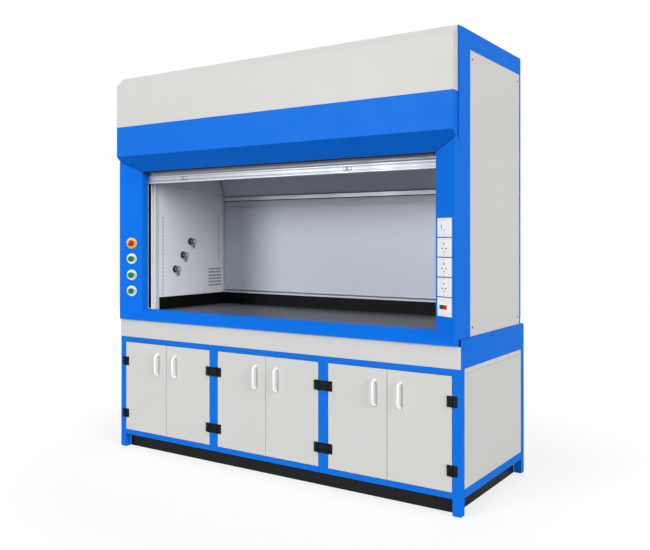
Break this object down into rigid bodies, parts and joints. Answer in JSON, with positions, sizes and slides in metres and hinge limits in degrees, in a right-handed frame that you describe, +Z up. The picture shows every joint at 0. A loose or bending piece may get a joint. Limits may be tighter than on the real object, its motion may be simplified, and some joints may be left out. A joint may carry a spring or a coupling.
{
  "type": "bypass fume hood",
  "caption": "Wide walk-up fume hood on a six-door cupboard base, with a counterweighted vertical sash, slanting post foils with controls, and roof duct collars.",
  "frame": {"origin": "centre of the bounding box's underside, on the floor", "axes": "+X right seen from the front, +Y to the back, +Z up"},
  "size_m": [2.4, 0.9524, 2.4615],
  "materials": {
    "blue_paint": "satin",
    "light_paint": "satin",
    "black_paint": "satin",
    "galvanised": "satin",
    "board": "satin",
    "baffle_board": "satin",
    "melamine": "satin",
    "black_top": "gloss",
    "black_plastic": "satin",
    "white_plastic": "gloss",
    "cream_plastic": "gloss",
    "red_plastic": "gloss",
    "green_plastic": "gloss",
    "aluminium": "satin",
    "chrome": "polished",
    "glass": "polished",
    "cast_iron": "matte",
    "steel": "satin",
    "lamp": "matte"
  },
  "bodies": {
    "root": {"base_frame": "blue_paint", "base_side_panels": "light_paint", "back_panels": "light_paint", "cupboard_panels": "melamine", "plinth": "black_paint", "apron_panel": "light_paint", "hinge_post_leaves": "black_plastic", "front_posts": "blue_paint", "upper_frame": "blue_paint", "upper_side_panels": "light_paint", "roof_panel": "light_paint", "duct_collars": "galvanised", "front_top_panel": "light_paint", "fascia_header": "blue_paint", "post_foils": "blue_paint", "sill_foil": "blue_paint", "worktop": "black_top", "chamber_liner": "board", "baffles": "baffle_board", "light_fixture": "lamp", "service_nozzles": "chrome", "sash_guides": "white_plastic", "pulley_brackets": "galvanised", "sash_cables": "steel", "upper_sash_cables": "steel", "weight_cables": "steel", "control_bezels": "cream_plastic", "socket_plates": "white_plastic"},
    "sash_lower": {"sash_lower_frame": "aluminium", "sash_lower_glass": "glass", "sash_handle": "aluminium"},
    "sash_upper": {"sash_upper_frame": "aluminium", "sash_upper_glass": "glass"},
    "counterweights": {"counterweights": "cast_iron"},
    "sheave_shaft": {"pulley_shaft": "steel"},
    "stop_head": {"stop_head": "red_plastic"},
    "valve_knob_1": {"valve_knob_1": "green_plastic"},
    "valve_knob_2": {"valve_knob_2": "green_plastic"},
    "valve_knob_3": {"valve_knob_3": "green_plastic"},
    "selector": {"selector_knob": "white_plastic"},
    "button_green": {"button_green": "green_plastic"},
    "button_red": {"button_red": "red_plastic"},
    "door_1": {"door_1": "light_paint", "door_handle_1": "white_plastic", "door_hinge_leaves_1": "black_plastic"},
    "door_2": {"door_2": "light_paint", "door_handle_2": "white_plastic", "door_hinge_leaves_2": "black_plastic"},
    "door_3": {"door_3": "light_paint", "door_handle_3": "white_plastic", "door_hinge_leaves_3": "black_plastic"},
    "door_4": {"door_4": "light_paint", "door_handle_4": "white_plastic", "door_hinge_leaves_4": "black_plastic"},
    "door_5": {"door_5": "light_paint", "door_handle_5": "white_plastic", "door_hinge_leaves_5": "black_plastic"},
    "door_6": {"door_6": "light_paint", "door_handle_6": "white_plastic", "door_hinge_leaves_6": "black_plastic"}
  },
  "joints": [
    {"name": "door_1_hinge", "type": "hinge", "parent": "root", "child": "door_1", "pos_m": [-1.1535, -0.43075, 0.399], "axis": [0, 0, -1], "range_deg": [0, 90]},
    {"name": "door_2_hinge", "type": "hinge", "parent": "root", "child": "door_2", "pos_m": [-0.4265, -0.43075, 0.399], "axis": [0, 0, 1], "range_deg": [0, 90]},
    {"name": "door_3_hinge", "type": "hinge", "parent": "root", "child": "door_3", "pos_m": [-0.3635, -0.43075, 0.399], "axis": [0, 0, -1], "range_deg": [0, 90]},
    {"name": "door_4_hinge", "type": "hinge", "parent": "root", "child": "door_4", "pos_m": [0.3635, -0.43075, 0.399], "axis": [0, 0, 1], "range_deg": [0, 90]},
    {"name": "door_5_hinge", "type": "hinge", "parent": "root", "child": "door_5", "pos_m": [0.4265, -0.43075, 0.399], "axis": [0, 0, -1], "range_deg": [0, 90]},
    {"name": "door_6_hinge", "type": "hinge", "parent": "root", "child": "door_6", "pos_m": [1.1535, -0.43075, 0.399], "axis": [0, 0, 1], "range_deg": [0, 90]},
    {"name": "sash_slide", "type": "slide", "parent": "root", "child": "sash_lower", "axis": [0, 0, 1], "range_m": [-0.815, 0], "deforming": ["sash_cables"]},
    {"name": "upper_sash_slide", "type": "slide", "parent": "root", "child": "sash_upper", "axis": [0, 0, 1], "range_m": [-0.408, 0.0005], "deforming": ["upper_sash_cables"]},
    {"name": "weight_slide", "type": "slide", "parent": "root", "child": "counterweights", "axis": [0, 0, 1], "range_m": [-0.0005, 0.8155], "deforming": ["weight_cables"]},
    {"name": "sheave_spin", "type": "hinge", "parent": "root", "child": "sheave_shaft", "pos_m": [0, -0.25575, 2.31], "axis": [1, 0, 0], "range_deg": [-1, 779.27]},
    {"name": "stop_push", "type": "slide", "parent": "root", "child": "stop_head", "axis": [-0.4309, 0.9024, 0], "range_m": [0, 0.004]},
    {"name": "valve_1_turn", "type": "hinge", "parent": "root", "child": "valve_knob_1", "pos_m": [-1.1125, -0.4135, 1.226], "axis": [0.4309, -0.9024, 0], "range_deg": [0, 270]},
    {"name": "valve_2_turn", "type": "hinge", "parent": "root", "child": "valve_knob_2", "pos_m": [-1.1125, -0.4135, 1.12], "axis": [0.4309, -0.9024, 0], "range_deg": [0, 270]},
    {"name": "valve_3_turn", "type": "hinge", "parent": "root", "child": "valve_knob_3", "pos_m": [-1.1125, -0.4135, 1.016], "axis": [0.4309, -0.9024, 0], "range_deg": [0, 270]},
    {"name": "selector_turn", "type": "hinge", "parent": "root", "child": "selector", "pos_m": [1.1125, -0.4135, 1.412], "axis": [-0.4309, -0.9024, 0], "range_deg": [-45, 45]},
    {"name": "button_green_push", "type": "slide", "parent": "root", "child": "button_green", "axis": [0.4309, 0.9024, 0], "range_m": [0, 0.003], "stiffness_N_per_m": 400},
    {"name": "button_red_push", "type": "slide", "parent": "root", "child": "button_red", "axis": [0.4309, 0.9024, 0], "range_m": [0, 0.003], "stiffness_N_per_m": 400}
  ],
  "couplings": [
    {"joint": "upper_sash_slide", "follows": "sash_slide", "ratio": 0.5},
    {"joint": "weight_slide", "follows": "sash_slide", "ratio": -1},
    {"joint": "sheave_spin", "follows": "sash_slide", "rad_per_m": -16.667}
  ]
}
